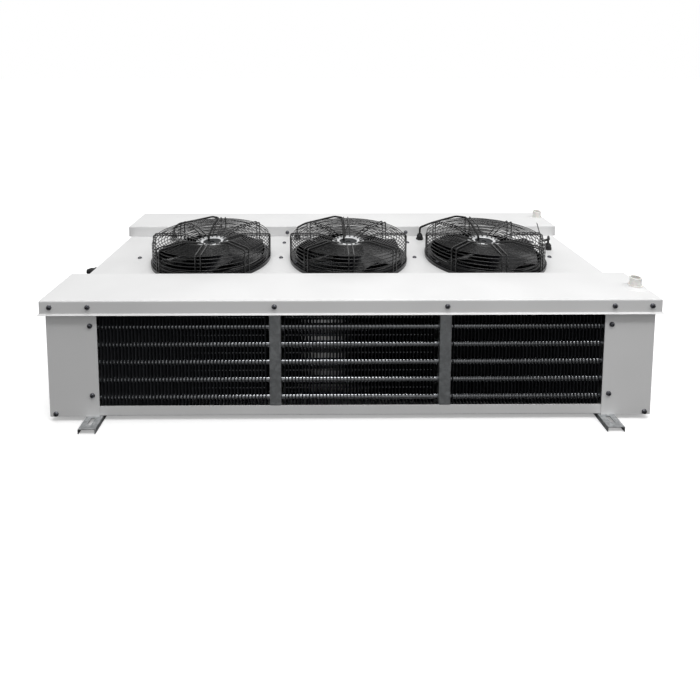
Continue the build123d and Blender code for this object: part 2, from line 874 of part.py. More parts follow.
def coil_parts():
    plate = tube_sheet()
    supports = [coil_support(x) for x in support_places]
    packs = fin_packs()
    tubes = [coil_tube(place) for row in tube_places() for place in row]
    bends = return_bends()
    suction = header(row_count - 1, suction_header_diameter)
    liquid = header(0, liquid_header_diameter)
    pan = drain_pan()
    stub = drain_stub()
    for name, side in (("front", lambda piece: piece), ("rear", mirrored_y)):
        save(f"{name}_tube_sheet_left", side(mirrored_x(plate)))
        save(f"{name}_tube_sheet_right", side(plate))
        save(f"{name}_coil_supports", *[side(piece) for piece in supports])
        save(f"{name}_fin_pack", *[side(piece) for piece in packs])
        save(f"{name}_coil_tubes", *[side(piece) for piece in tubes])
        save(f"{name}_return_bends", *[side(piece) for piece in bends])
        save(f"{name}_suction_header", side(suction))
        save(f"{name}_liquid_header", side(liquid))
        save(f"{name}_drain_pan", side(pan))
        save(f"{name}_drain_stub", side(stub))


def screw_parts():
    facing = {-1: Rot(90, 0, 0), 1: Rot(-90, 0, 0)}
    long_screw = screw(screw_head, screw_head_height, screw_diameter, pan_overhang_front + screw_grip)
    short_screw = screw(screw_head, screw_head_height, screw_diameter, screw_grip)
    pan_screws = []
    cover_screws = []
    for side, turn in facing.items():
        for x in pan_screws_x():
            pan_screws.append(Pos(x, side * unit_depth / 2, pan_screw_z) * turn * long_screw)
        for x in rim_screws_x():
            pan_screws.append(Pos(x, -side * pan_inner, rim_screw_z) * turn * short_screw)
        for end in (-1, 1):
            places = [(cover_screw_x, z) for z in cover_screws_z] + [(corner_screw_x, corner_screw_rise)]
            for x, z in places:
                cover_screws.append(Pos(end * x, side * half_depth, z) * turn * short_screw)
    save("pan_screws", *pan_screws)
    save("cover_screws", *cover_screws)
    save("deck_screws", *[Pos(x, y, deck_top) * short_screw for x in deck_rows_x for y in deck_rows_y])
    clamp = screw(guard_screw_head, guard_screw_head_height, guard_screw_diameter, guard_screw_length)
    seat = deck_top + ring_step + wire_gap + wire_diameter + seat_gap
    places = [(x + px, py) for x in fan_places for px, py in guard_screw_places()]
    save("guard_screws", *[Pos(x, y, seat) * clamp for x, y in places])


def cable_parts():
    glands = [Pos(x, y, deck_top) * cable_gland() for x, y in gland_places()]
    nuts = [Pos(x, y, deck_top) * gland_nut() for x, y in gland_places()]
    save("deck_glands", *glands, *nuts)
    end = Pos(-half_length, end_gland_y, deck_top - end_gland_drop) * Rot(0, -90, 0)
    save("end_gland", end * cable_gland(end_gland_reach), end * gland_nut())
    last = Pos(fan_places[-1], 0, deck_top)
    save("guard_lead", last * guard_lead())
    save("cable_tie", last * cable_tie())
    low, high = bearing_bottoms()
    bearings = [Pos(x, 0, deck_top) * motor_bearing(z) for x in fan_places for z in (low, high)]
    save("motor_bearings", *bearings)


frame_parts()
coil_parts()
motor_parts()
screw_parts()
cable_parts()
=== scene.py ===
import json
import math

import bmesh
import bpy
from mathutils import Matrix, Vector


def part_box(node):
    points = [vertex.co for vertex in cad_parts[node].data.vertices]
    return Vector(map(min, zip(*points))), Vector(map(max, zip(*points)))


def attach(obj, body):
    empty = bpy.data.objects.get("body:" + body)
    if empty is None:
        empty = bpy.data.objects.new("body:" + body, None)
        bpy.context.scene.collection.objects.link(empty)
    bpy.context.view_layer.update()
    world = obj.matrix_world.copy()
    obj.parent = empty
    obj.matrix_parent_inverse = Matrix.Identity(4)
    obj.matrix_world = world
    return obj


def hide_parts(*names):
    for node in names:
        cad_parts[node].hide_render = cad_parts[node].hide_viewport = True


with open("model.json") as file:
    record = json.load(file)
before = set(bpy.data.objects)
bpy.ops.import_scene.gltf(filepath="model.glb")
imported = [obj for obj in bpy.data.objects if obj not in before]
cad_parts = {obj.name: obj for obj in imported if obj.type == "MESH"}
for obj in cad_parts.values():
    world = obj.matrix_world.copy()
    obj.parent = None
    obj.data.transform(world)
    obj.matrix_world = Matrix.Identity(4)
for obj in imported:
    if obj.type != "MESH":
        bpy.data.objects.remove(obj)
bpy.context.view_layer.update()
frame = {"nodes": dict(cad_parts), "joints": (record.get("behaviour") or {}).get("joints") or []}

# Lengths are metres, in the part's own frame: X along the drain pans, Y from front to rear, Z up.
MM = 0.001

# The photograph's frame and the camera that was fitted to it
PHOTO_WIDTH = 700
FOCAL_PIXELS = 498.0
PRINCIPAL_X = 326.0
PRINCIPAL_Y = 110.0
SENSOR_WIDTH = 36.0
CAMERA_PLACE = (-76.6 * MM, -1659.9 * MM, 939.0 * MM)
CAMERA_PITCH = 0.0845
CAMERA_YAW = 0.0064

# Light: what the world and the floor give back to the object, and how far shade on the floor is lifted
WORLD_LIGHT = 0.52
FLOOR_BOUNCE = "#646464"
FLOOR_GLOW = 0.3

# Fan guard
SPOKE_COUNT = 8
ROD_DIAMETER = 4 * MM
ROD_SPACING = 16 * MM
ROD_BEND = 6 * MM
ROD_KNEE = 6 * MM
FOOT_RISE = 10.5 * MM
WIRE_DIAMETER = 2.6 * MM
WIRE_GAP = 0.2 * MM
SIDE_RING_PITCH = 11.6 * MM
TOP_RING_PITCH = 9 * MM
DISH_RADIUS = 104 * MM
DISH_DEPTH = 21 * MM
SPOKE_START = 38 * MM
HUB_PLATE_RADIUS = 54 * MM
HUB_PLATE_HOLE = 30 * MM
HUB_PLATE_THICKNESS = 3 * MM
HUB_PLATE_EDGE = 0.8 * MM
HUB_SCREWS = 4
HUB_SCREW_TURN = math.tau / 16
HUB_SCREW_SHANK = 2 * MM
HUB_SCREW_SCALE = 0.6
# How much farther apart two level things sit where they lie along the dish's slope
SLOPE_STRETCH = 1.05

# Coils. The fins' waves are coarser than real ones, so that they show and stop the view through a bay
FIN_PITCH = 9.4 * MM
FIN_THICKNESS = 0.5 * MM
FIN_WAVE = 3.0 * MM
FIN_WAVES = 4
SEAT_GAP = 0.3 * MM
COLLAR_WALL = 0.35 * MM
COLLAR_STRAIGHT = 6.0 * MM
COLLAR_FLARE = 1.4 * MM
TUBE_ROOM = 17 * MM
TUBE_PITCH = 50 * MM
TAB_HEIGHT = 3 * MM
TAB_LENGTH = 4.5 * MM
TAB_THICKNESS = 1.2 * MM

# Screws
SCREW_HEAD = 14 * MM
SCREW_SHANK = 6 * MM
SOCKET_WIDTH = 4.5 * MM
SHORT_SHANK = 8 * MM
LONG_SHANK = 14 * MM
GUARD_SCREW_SCALE = 0.9
SCREW_TURN = 0.7

# Corners nearer than this are merged
MERGE = 0.001 * MM

# Places read from the frame
DECK_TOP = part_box("fan_deck")[1].z
DECK_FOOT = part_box("fan_deck")[0].z - SEAT_GAP
RAIL_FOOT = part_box("hanger_rail_left")[0].z
GUARD_LOW, GUARD_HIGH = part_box("fan_guard_1")
GUARD_RADIUS = (GUARD_HIGH.x - GUARD_LOW.x - ROD_DIAMETER) / 2
GUARD_HEIGHT = GUARD_HIGH.z - ROD_DIAMETER / 2 - DECK_TOP
FAN_PLACES = [Vector(joint["pos_m"]) for joint in frame["joints"]]


# Materials
def linear(code):
    """A colour written as sRGB hex, turned to the linear values that the shaders take."""
    values = [int(code[i:i + 2], 16) / 255 for i in (1, 3, 5)]
    values = [v / 12.92 if v <= 0.04045 else ((v + 0.055) / 1.055) ** 2.4 for v in values]
    return (*values, 1.0)


def add(tree, kind, inputs=None, **settings):
    """Adds one shader node with its settings, and fills its inputs with values or links."""
    made = tree.nodes.new(kind)
    for name, value in settings.items():
        setattr(made, name, value)
    for name, value in (inputs or {}).items():
        if isinstance(value, bpy.types.NodeSocket):
            tree.links.new(value, made.inputs[name])
        else:
            made.inputs[name].default_value = value
    return made


def surface(name, **sockets):
    """A material with one shader: its tree, the shader and the piece's own coordinates."""
    material = bpy.data.materials.new(name)
    material.use_nodes = True
    tree = material.node_tree
    shader = tree.nodes["Principled BSDF"]
    for socket, value in sockets.items():
        shader.inputs[socket.replace("_", " ")].default_value = value
    place = add(tree, "ShaderNodeTexCoord").outputs["Object"]
    return material, tree, shader, place


def per_metre(size):
    """The scale of a pattern whose cells are as wide as size."""
    return 1 / size


def colour_steps(tree, factor, *steps):
    """A colour ramp from positions and hex colours."""
    ramp = add(tree, "ShaderNodeValToRGB", {"Fac": factor})
    points = ramp.color_ramp.elements
    while len(points) < len(steps):
        points.new(0.5)
    for point, (position, code) in zip(points, steps):
        point.position = position
        point.color = linear(code)
    return ramp.outputs["Color"]


def grey_steps(tree, factor, low, high):
    """A number that goes from low to high as factor goes from 0.3 to 0.7."""
    ranged = add(tree, "ShaderNodeMapRange", {"Value": factor, "From Min": 0.3, "From Max": 0.7,
                                              "To Min": low, "To Max": high})
    return ranged.outputs["Result"]


def noise(tree, place, size, detail=3.0, roughness=0.5):
    made = add(tree, "ShaderNodeTexNoise", {"Vector": place, "Scale": per_metre(size), "Detail": detail,
                                            "Roughness": roughness})
    return made.outputs["Fac"]


def bumped(tree, shader, height, distance, strength=1.0, below=None):
    """Feeds a height pattern to the shader's normal, over another bump if one is given."""
    inputs = {"Height": height, "Distance": distance, "Strength": strength}
    if below is not None:
        inputs["Normal"] = below
    made = add(tree, "ShaderNodeBump", inputs)
    tree.links.new(made.outputs["Normal"], shader.inputs["Normal"])
    return made.outputs["Normal"]


def white_powder_coat():
    # Baked polyester powder on folded sheet: a soft sheen, fine orange peel and hardly any colour
    material, tree, shader, place = surface("white_powder_coat", Specular_IOR_Level=0.45, Coat_Weight=0.12,
                                            Coat_Roughness=0.25)
    cloud = noise(tree, place, 240 * MM, 2.0)
    tree.links.new(colour_steps(tree, cloud, (0.35, "#E4E4E4"), (0.65, "#EAEAEA")),
                   shader.inputs["Base Color"])
    smear = noise(tree, place, 55 * MM, 4.0, 0.6)
    tree.links.new(grey_steps(tree, smear, 0.36, 0.5), shader.inputs["Roughness"])
    # Real orange peel is under 2 mm across; 5 mm is the finest that shows at this size of picture
    peel = noise(tree, place, 5 * MM, 2.0)
    wave = noise(tree, place, 150 * MM, 1.0)
    below = bumped(tree, shader, wave, 0.6 * MM, 0.35)
    bumped(tree, shader, peel, 0.05 * MM, 0.5, below)
    return material


def galvanised_steel(name="galvanised_steel", dark="#AEB1B3", light="#BCBFC1"):
    # Hot-dip zinc on rolled sheet: flat crystals that catch the light a little differently
    material, tree, shader, place = surface(name, Metallic=1.0)
    spangle = add(tree, "ShaderNodeTexVoronoi", {"Vector": place, "Scale": per_metre(5 * MM)})
    tone = add(tree, "ShaderNodeSeparateColor", {"Color": spangle.outputs["Color"]}).outputs["Red"]
    tree.links.new(colour_steps(tree, tone, (0.1, dark), (0.9, light)), shader.inputs["Base Color"])
    tree.links.new(grey_steps(tree, tone, 0.34, 0.52), shader.inputs["Roughness"])
    rolled = add(tree, "ShaderNodeMapping", {"Vector": place, "Scale": (0.04, 1.0, 1.0)}).outputs["Vector"]
    bumped(tree, shader, noise(tree, rolled, 1.5 * MM, 3.0), 0.05 * MM, 0.4)
    return material


def passivated_zinc():
    # Zinc plate under a white passivation film: pale and satin, so that it answers the light from above
    material, tree, shader, place = surface("passivated_zinc", Metallic=0.35)
    film = noise(tree, place, 8 * MM, 3.0)
    tree.links.new(colour_steps(tree, film, (0.3, "#D8DADB"), (0.7, "#EEEFF0")), shader.inputs["Base Color"])
    tree.links.new(grey_steps(tree, film, 0.3, 0.44), shader.inputs["Roughness"])
    bumped(tree, shader, film, 0.05 * MM, 0.5)
    return material


def black_wire_coat():
    # Plastic dip coat on round steel wire: near black, smooth and a little thick at the welds
    material, tree, shader, place = surface("black_wire_coat", Specular_IOR_Level=0.35, Coat_Weight=0.6,
                                            Coat_Roughness=0.06)
    film = noise(tree, place, 18 * MM, 3.0)
    tree.links.new(colour_steps(tree, film, (0.3, "#060607"), (0.7, "#0F0F10")), shader.inputs["Base Color"])
    tree.links.new(grey_steps(tree, film, 0.22, 0.36), shader.inputs["Roughness"])
    bumped(tree, shader, noise(tree, place, 4 * MM, 2.0), 0.08 * MM, 0.5)
    return material


def black_fan_enamel():
    # Electro-coat over pressed sheet: glossy black, clouded, with a grey sheen where it mirrors a lamp
    material, tree, shader, place = surface("black_fan_enamel", Specular_IOR_Level=0.5)
    cloud = noise(tree, place, 60 * MM, 4.0, 0.6)
    tree.links.new(colour_steps(tree, cloud, (0.3, "#08080A"), (0.7, "#131317")), shader.inputs["Base Color"])
    tree.links.new(grey_steps(tree, cloud, 0.16, 0.28), shader.inputs["Roughness"])
    bumped(tree, shader, noise(tree, place, 2.5 * MM, 3.0), 0.04 * MM, 0.5)
    return material


def fin_painted_shade_dark():
    # Aluminium fin stock, thin, in a dark grey that is painted shade for the deep gaps between the fins, with
    # a dull metal glint on its rolled waves
    material, tree, shader, place = surface("fin_painted_shade_dark", Metallic=0.3, Specular_IOR_Level=0.4)
    streak = add(tree, "ShaderNodeMapping", {"Vector": place, "Scale": (1.0, 1.0, 0.12)}).outputs["Vector"]
    rolled = noise(tree, streak, 6 * MM, 3.0)
    # These dark colour stops are painted shade, not the metal's own colour
    tree.links.new(colour_steps(tree, rolled, (0.3, "#2B2C2F"), (0.7, "#3F4145")),
                   shader.inputs["Base Color"])
    tree.links.new(grey_steps(tree, rolled, 0.4, 0.58), shader.inputs["Roughness"])
    bumped(tree, shader, rolled, 0.05 * MM, 0.5)
    return material


def drawn_collar():
    # Drawn aluminium fin collars pressed on the tubes: smooth, so that each gives one small sharp glint
    material, tree, shader, place = surface("drawn_collar", Metallic=1.0)
    haze = noise(tree, place, 7 * MM, 3.0)
    tree.links.new(colour_steps(tree, haze, (0.3, "#7E8082"), (0.7, "#A3A5A8")), shader.inputs["Base Color"])
    tree.links.new(grey_steps(tree, haze, 0.11, 0.19), shader.inputs["Roughness"])
    bumped(tree, shader, haze, 0.06 * MM, 0.4)
    return material


def aged_copper():
    # Drawn copper tube after brazing: warm metal, browned in clouds by the heat
    material, tree, shader, place = surface("aged_copper", Metallic=1.0)
    heat = noise(tree, place, 22 * MM, 4.0, 0.6)
    tree.links.new(colour_steps(tree, heat, (0.3, "#7A4A33"), (0.55, "#B06A46"), (0.75, "#CC8A63")),
                   shader.inputs["Base Color"])
    tree.links.new(grey_steps(tree, heat, 0.28, 0.5), shader.inputs["Roughness"])
    bumped(tree, shader, noise(tree, place, 1.2 * MM, 2.0), 0.03 * MM, 0.5)
    return material


def cast_aluminium():
    # Die-cast motor shell, darkened by its sealing lacquer: grainy, with a soft wide highlight
    material, tree, shader, place = surface("cast_aluminium", Metallic=1.0)
    grain = noise(tree, place, 2.4 * MM, 4.0, 0.65)
    tree.links.new(colour_steps(tree, grain, (0.3, "#2E2F31"), (0.7, "#47494B")), shader.inputs["Base Color"])
    tree.links.new(grey_steps(tree, grain, 0.42, 0.6), shader.inputs["Roughness"])
    bumped(tree, shader, grain, 0.08 * MM, 0.6)
    return material


def black_zinc():
    # Blackened zinc on a machine screw: dark metal with a sharp glint on its dome
    material, tree, shader, place = surface("black_zinc", Metallic=1.0)
    film = noise(tree, place, 3 * MM, 3.0)
    tree.links.new(colour_steps(tree, film, (0.3, "#4A4A4E"), (0.7, "#7C7D83")), shader.inputs["Base Color"])
    tree.links.new(grey_steps(tree, film, 0.2, 0.36), shader.inputs["Roughness"])
    bumped(tree, shader, film, 0.03 * MM, 0.5)
    return material


def moulded_nylon():
    # Moulded black nylon: dull, with the faint grain of the mould
    material, tree, shader, place = surface("moulded_nylon", Specular_IOR_Level=0.45)
    grain = noise(tree, place, 1.6 * MM, 3.0)
    tree.links.new(colour_steps(tree, grain, (0.3, "#101011"), (0.7, "#1C1C1E")), shader.inputs["Base Color"])
    tree.links.new(grey_steps(tree, grain, 0.38, 0.52), shader.inputs["Roughness"])
    bumped(tree, shader, grain, 0.05 * MM, 0.5)
    return material


def cable_rubber():
    # Extruded rubber sheath: matt black with lengthwise die lines
    material, tree, shader, place = surface("cable_rubber", Specular_IOR_Level=0.35)
    scuff = noise(tree, place, 9 * MM, 4.0)
    tree.links.new(colour_steps(tree, scuff, (0.3, "#0D0D0D"), (0.7, "#1A1A1B")), shader.inputs["Base Color"])
    tree.links.new(grey_steps(tree, scuff, 0.5, 0.68), shader.inputs["Roughness"])
    bumped(tree, shader, noise(tree, place, 1.5 * MM, 2.0), 0.04 * MM, 0.5)
    return material


def white_pvc():
    # Extruded white plastic pipe: glossier than the painted pan, with a slight warm tone
    material, tree, shader, place = surface("white_pvc", Specular_IOR_Level=0.5, Subsurface_Weight=0.06,
                                            Subsurface_Scale=0.004)
    cloud = noise(tree, place, 12 * MM, 2.0)
    tree.links.new(colour_steps(tree, cloud, (0.3, "#E6E5E0"), (0.7, "#F1F0EC")), shader.inputs["Base Color"])
    tree.links.new(grey_steps(tree, cloud, 0.22, 0.32), shader.inputs["Roughness"])
    bumped(tree, shader, cloud, 0.1 * MM, 0.3)
    return material


WHITE = white_powder_coat()
ZINC = galvanised_steel()
RAIL_ZINC = galvanised_steel("rolled_zinc_rail", "#BFC2C4", "#DCDEDF")
BRIGHT_ZINC = passivated_zinc()
WIRE_BLACK = black_wire_coat()
FAN_BLACK = black_fan_enamel()
FIN = fin_painted_shade_dark()
COLLAR = drawn_collar()
COPPER = aged_copper()
CAST = cast_aluminium()
SCREW_BLACK = black_zinc()
NYLON = moulded_nylon()
RUBBER = cable_rubber()
PVC = white_pvc()

FINISHES = (
    (("base_panel", "end_cover", "drain_pan", "fan_deck"), WHITE),
    (("hanger_rail",), RAIL_ZINC),
    (("tube_sheet", "coil_supports", "plenum", "rotor_shaft", "motor_bearings"), ZINC),
    (("fan_ring", "impeller"), FAN_BLACK),
    (("fan_guard",), WIRE_BLACK),
    (("fin_pack",), FIN),
    (("coil_tubes",), COLLAR),
    (("return_bends", "header"), COPPER),
    (("motor_stator", "rotor_can"), CAST),
    (("screws",), SCREW_BLACK),
    (("gland", "cable_tie"), NYLON),
    (("fan_cable", "guard_lead"), RUBBER),
    (("drain_stub",), PVC),
)


def finish_of(node_name):
    for words, material in FINISHES:
        if any(word in node_name for word in words):
            return material
    raise ValueError(f"no finish for {node_name}")


def dress_frame():
    """Gives each carried-over node its finish."""
    for name, node in frame["nodes"].items():
        node.data.materials.clear()
        node.data.materials.append(finish_of(name))


# Making pieces
def piece(name, mesh, material, body, slot, *stands_for, smooth=True):
    """Turns a bmesh into a finished piece at the origin that rides on a body."""
    data = bpy.data.meshes.new(name)
    mesh.to_mesh(data)
    mesh.free()
    data.materials.append(material)
    if smooth:
        data.shade_smooth()
    made = bpy.data.objects.new(name, data)
    bpy.context.scene.collection.objects.link(made)
    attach(made, body)
    if stands_for:
        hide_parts(*stands_for)


def join_in(target, source):
    """Adds a finished mesh to a growing bmesh."""
    data = bpy.data.meshes.new("part")
    source.to_mesh(data)
    target.from_mesh(data)
    bpy.data.meshes.remove(data)


def copies(template, places):
    """A bmesh with one copy of a template at each placing matrix."""
    data = bpy.data.meshes.new("template")
    template.to_mesh(data)
    made = bmesh.new()
    for place in places:
        start = len(made.verts)
        made.from_mesh(data)
        made.verts.ensure_lookup_table()
        bmesh.ops.transform(made, matrix=place, verts=made.verts[start:])
    bpy.data.meshes.remove(data)
    return made


def turned(outline, steps):
    """A closed turned shape from points of radius and height."""
    made = bmesh.new()
    verts = [made.verts.new((r, 0, z)) for r, z in outline]
    edges = [made.edges.new(pair) for pair in zip(verts, verts[1:] + verts[:1])]
    bmesh.ops.spin(made, geom=verts + edges, axis=(0, 0, 1), cent=(0, 0, 0), angle=math.tau, steps=steps,
                   use_merge=True)
    bmesh.ops.remove_doubles(made, verts=made.verts, dist=MERGE)
    bmesh.ops.recalc_face_normals(made, faces=made.faces)
    return made


def ring_wire(radius, height, wire_radius, steps=72, sides=8):
    """A welded ring of round wire."""
    made = bmesh.new()
    turn = Matrix.Translation((radius, 0, height)) @ Matrix.Rotation(math.pi / 2, 4, "X")
    circle = bmesh.ops.create_circle(made, segments=sides, radius=wire_radius, matrix=turn)
    bmesh.ops.spin(made, geom=circle["verts"] + list(made.edges), axis=(0, 0, 1), cent=(0, 0, 0),
                   angle=math.tau, steps=steps, use_merge=True)
    bmesh.ops.remove_doubles(made, verts=made.verts, dist=MERGE)
    bmesh.ops.recalc_face_normals(made, faces=made.faces)
    return made


# Fan guards
def spoke_height(radius):
    """Height of the spokes' middle line above the deck: flat outside, dished down to the hub plate."""
    return GUARD_HEIGHT - DISH_DEPTH * max(DISH_RADIUS - radius, 0) / (DISH_RADIUS - SPOKE_START)


def run(mesh, tip, way):
    """Draws the end face of a bar out along a straight stretch and gives the new end face."""
    drawn = bmesh.ops.extrude_face_region(mesh, geom=tip)["geom"]
    bmesh.ops.delete(mesh, geom=tip, context="FACES_ONLY")
    bmesh.ops.translate(mesh, vec=way, verts=[item for item in drawn if isinstance(item, bmesh.types.BMVert)])
    return [item for item in drawn if isinstance(item, bmesh.types.BMFace)]


def bend(mesh, tip, centre, angle, steps):
    """Turns the end face of a bar round a centre, in the plane of X and Z."""
    spun = bmesh.ops.spin(mesh, geom=tip, axis=(0, 1, 0), cent=centre, angle=angle, steps=steps)["geom_last"]
    bmesh.ops.delete(mesh, geom=tip, context="FACES_ONLY")
    return [item for item in spun if isinstance(item, bmesh.types.BMFace)]


def bent_rod(sides=10):
    """One guard rod: up the dish, along the flat rim, round its bend and down to the foot."""
    made = bmesh.new()
    slope = math.atan(DISH_DEPTH / (DISH_RADIUS - SPOKE_START))
    start = Vector((SPOKE_START, 0, spoke_height(SPOKE_START)))
    knee = Vector((DISH_RADIUS, 0, GUARD_HEIGHT))
    back = ROD_KNEE * math.tan(slope / 2)
    along = (knee - start).normalized()
    place = Matrix.Translation(start) @ Matrix.Rotation(math.pi / 2 - slope, 4, "Y")
    bmesh.ops.create_circle(made, cap_ends=True, segments=sides, radius=ROD_DIAMETER / 2, matrix=place)
    tip = run(made, list(made.faces), along * ((knee - start).length - back))
    tip = bend(made, tip, knee + Vector((back, 0, -ROD_KNEE)), slope, 2)
    tip = run(made, tip, (GUARD_RADIUS - ROD_BEND - DISH_RADIUS - back, 0, 0))
    tip = bend(made, tip, (GUARD_RADIUS - ROD_BEND, 0, GUARD_HEIGHT - ROD_BEND), math.pi / 2, 5)
    run(made, tip, (0, 0, FOOT_RISE - GUARD_HEIGHT + ROD_BEND))
    bmesh.ops.recalc_face_normals(made, faces=made.faces)
    return made


def guard_cage():
    """Rods in pairs outside, close rings of wire inside."""
    rod = bent_rod()
    places = []
    for i in range(SPOKE_COUNT):
        turn = Matrix.Rotation(math.tau / SPOKE_COUNT * i, 4, "Z")
        places += [turn @ Matrix.Translation((0, side * ROD_SPACING / 2, 0)) for side in (-1, 1)]
    cage = copies(rod, places)
    rod.free()
    under = (ROD_DIAMETER + WIRE_DIAMETER) / 2 + WIRE_GAP
    side_radius = GUARD_RADIUS - under - ROD_SPACING ** 2 / 8 / GUARD_RADIUS
    rings = []
    height = FOOT_RISE + WIRE_DIAMETER / 2
    while height < GUARD_HEIGHT - ROD_BEND:
        rings.append((side_radius, height))
        height += SIDE_RING_PITCH
    radius = GUARD_RADIUS - ROD_BEND
    while radius > HUB_PLATE_RADIUS + WIRE_DIAMETER:
        rings.append((radius, spoke_height(radius) - under * SLOPE_STRETCH))
        radius -= TOP_RING_PITCH
    for radius, height in rings:
        wire = ring_wire(radius, height, WIRE_DIAMETER / 2)
        join_in(cage, wire)
        wire.free()
    return cage


def hub_plate():
    """The bright pressed plate that the motor hangs from, with its edges bevelled."""
    top = spoke_height(SPOKE_START) - ROD_DIAMETER / 2 * SLOPE_STRETCH - WIRE_GAP
    low = top - HUB_PLATE_THICKNESS
    edge = HUB_PLATE_EDGE
    inner = HUB_PLATE_HOLE
    outer = HUB_PLATE_RADIUS
    outline = [(inner, low + edge), (inner + edge, low), (outer - edge, low), (outer, low + edge),
               (outer, top - edge), (outer - edge, top), (inner + edge, top), (inner, top - edge)]
    plate = turned(outline, 64)
    middle = (inner + outer) / 2
    places = []
    for i in range(HUB_SCREWS):
        angle = HUB_SCREW_TURN + math.tau / HUB_SCREWS * i
        seat = Vector((middle * math.cos(angle), middle * math.sin(angle), top))
        places.append(Matrix.Translation(seat) @ Matrix.Scale(HUB_SCREW_SCALE, 4))
    screw = screw_template(HUB_SCREW_SHANK)
    heads = copies(screw, places)
    screw.free()
    join_in(plate, heads)
    heads.free()
    return plate


def fan_guards():
    for number, place in enumerate(FAN_PLACES, 1):
        centre = Matrix.Translation((place.x, place.y, DECK_TOP))
        cage = guard_cage()
        bmesh.ops.transform(cage, matrix=centre, verts=cage.verts)
        piece(f"guard_cage_{number}", cage, WIRE_BLACK, "root", "black_enamel", f"fan_guard_{number}")
        plate = hub_plate()
        bmesh.ops.transform(plate, matrix=centre, verts=plate.verts)
        piece(f"hub_plate_{number}", plate, BRIGHT_ZINC, "root", "plated_steel", smooth=False)


# Screws
def screw_template(shank):
    """A button-head screw with a hexagon socket, its seat at the origin and its head up."""
    head = SCREW_HEAD / 2
    height = SCREW_HEAD * 0.34
    socket = SOCKET_WIDTH / 2
    floor = height * 0.45
    dome = [(head, height * 0.2), (head * 0.86, height * 0.62), (head * 0.62, height * 0.9),
            (socket * 1.25, height)]
    outline = [(0, -shank), (SCREW_SHANK / 2, -shank), (SCREW_SHANK / 2, 0), (head, 0), *dome,
               (socket, height), (socket, floor), (0, floor)]
    made = turned(outline, 24)
    # The round socket's corners move in to the six flats of a hexagon
    for vert in made.verts:
        radius = math.hypot(vert.co.x, vert.co.y)
        if vert.co.z > floor - MERGE and abs(radius - socket) < 10 * MERGE:
            side = (math.atan2(vert.co.y, vert.co.x) % (math.tau / 6)) - math.tau / 12
            flat = math.cos(math.tau / 12) / math.cos(side)
            vert.co.x *= flat
            vert.co.y *= flat
    return made


def screw_seats(node, axis):
    """The seat and direction of each screw of a node, read from its head's corners."""
    mesh = bmesh.new()
    mesh.from_mesh(frame["nodes"][node].data)
    bmesh.ops.remove_doubles(mesh, verts=mesh.verts, dist=MERGE)
    left = set(mesh.verts)
    seats = []
    while left:
        group = [left.pop()]
        for vert in group:
            near = [edge.other_vert(vert) for edge in vert.link_edges]
            fresh = [other for other in near if other in left]
            left.difference_update(fresh)
            group += fresh
        points = [vert.co.copy() for vert in group]
        middle = sum(points, Vector()) / len(points)
        lows = [min(p[i] for p in points) for i in range(3)]
        highs = [max(p[i] for p in points) for i in range(3)]
        centre = (Vector(lows) + Vector(highs)) / 2
        across = [p for p in points if (p - middle - axis * (p - middle).dot(axis)).length > SCREW_HEAD * 0.4]
        places = [p.dot(axis) for p in across]
        out = 1 if sum(places) / len(places) > centre.dot(axis) else -1
        seat = min(places) if out > 0 else max(places)
        seats.append((centre + axis * (seat - centre.dot(axis)), axis * out))
    mesh.free()
    return seats


def screws():
    across = Vector((0, 1, 0))
    upright = Vector((0, 0, 1))
    for node, axis, shank, scale in (
        ("pan_screws", across, SHORT_SHANK, 1.0),
        ("cover_screws", across, SHORT_SHANK, 1.0),
        ("deck_screws", upright, SHORT_SHANK, 1.0),
        ("guard_screws", upright, LONG_SHANK, GUARD_SCREW_SCALE),
    ):
        places = []
        for number, (seat, way) in enumerate(screw_seats(node, axis)):
            turn = upright.rotation_difference(way).to_matrix().to_4x4()
            spin = Matrix.Rotation(number * SCREW_TURN, 4, "Z")
            places.append(Matrix.Translation(seat) @ turn @ spin @ Matrix.Scale(scale, 4))
        template = screw_template(shank)
        made = copies(template, places)
        template.free()
        piece(f"detailed_{node}", made, SCREW_BLACK, "root", "plated_steel", node, smooth=False)


# Coils
def bay_limits():
    """X limits of the three bays of fins, read from the gaps between the packs' corners."""
    xs = sorted({round(v.co.x, 5) for v in frame["nodes"]["front_fin_pack"].data.vertices})
    limits = [xs[0]]
    for near, far in zip(xs, xs[1:]):
        if far - near > 2 * FIN_PITCH:
            limits += [near, far]
    limits.append(xs[-1])
    return list(zip(limits[::2], limits[1::2]))


def tube_centres(side):
    """Y and Z of each tube of a coil, read from the corners at its right end."""
    verts = frame["nodes"][f"{side}_coil_tubes"].data.vertices
    end = max(v.co.x for v in verts)
    points = [Vector((v.co.y, v.co.z)) for v in verts if v.co.x > end - MM]
    centres = []
    while points:
        seed = points[0]
        group = [p for p in points if (p - seed).length < TUBE_ROOM]
        points = [p for p in points if (p - seed).length >= TUBE_ROOM]
        ys = [p.x for p in group]
        zs = [p.y for p in group]
        centres.append(((min(ys) + max(ys)) / 2, (min(zs) + max(zs)) / 2))
    return centres


